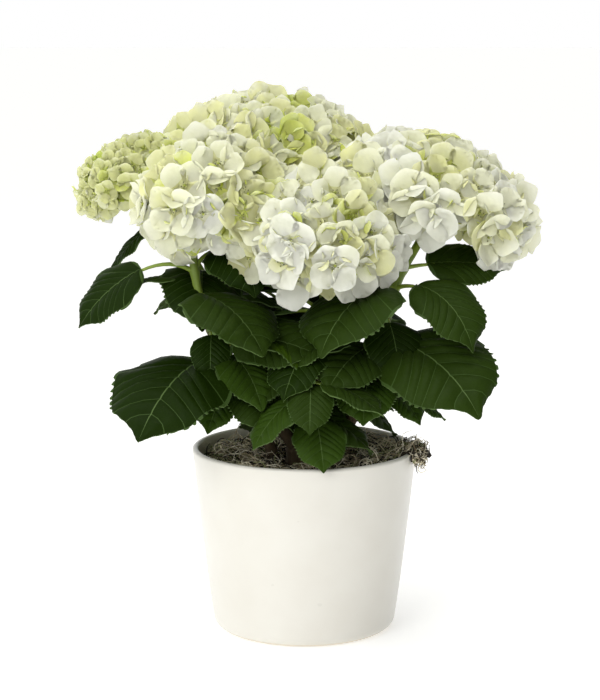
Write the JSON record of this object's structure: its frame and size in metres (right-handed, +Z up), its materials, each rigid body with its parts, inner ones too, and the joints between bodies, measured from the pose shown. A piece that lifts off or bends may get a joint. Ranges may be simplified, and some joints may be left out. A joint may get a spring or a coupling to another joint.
{
  "type": "potted mophead hydrangea shrub",
  "caption": "Potted flowering shrub with domed heads of four-petalled florets on leafy canes, moss over its soil and a round tapered glazed pot.",
  "frame": {"origin": "centre of the pot's flat underside", "axes": "+X to the right, +Y to the back, +Z up along the pot's axis"},
  "size_m": [0.3814, 0.2845, 0.4403],
  "materials": {
    "glaze": "smooth glossy off-white glaze",
    "soil": "dark peaty potting mix",
    "moss": "dry curly grey-brown moss",
    "bark": "thin brown bark, green towards the tips",
    "leaf": "satin dark green, veined",
    "petal": "matt white to lime petals"
  },
  "bodies": {
    "root": {"pot": "glaze", "soil": "soil", "moss": "moss", "trunk": "bark", "cane_left": "bark", "cane_far_left": "bark", "cane_back": "bark", "cane_front": "bark", "cane_right": "bark", "foliage_left": "leaf", "foliage_far_left": "leaf", "foliage_back": "leaf", "foliage_front": "leaf", "foliage_right": "leaf", "foliage_front_shoot": "leaf", "foliage_right_shoot": "leaf", "foliage_left_shoot": "leaf", "foliage_back_shoot": "leaf", "bloom_left": "petal", "bloom_far_left": "petal", "bloom_back": "petal", "bloom_front": "petal", "bloom_right": "petal"}
  },
  "joints": []
}
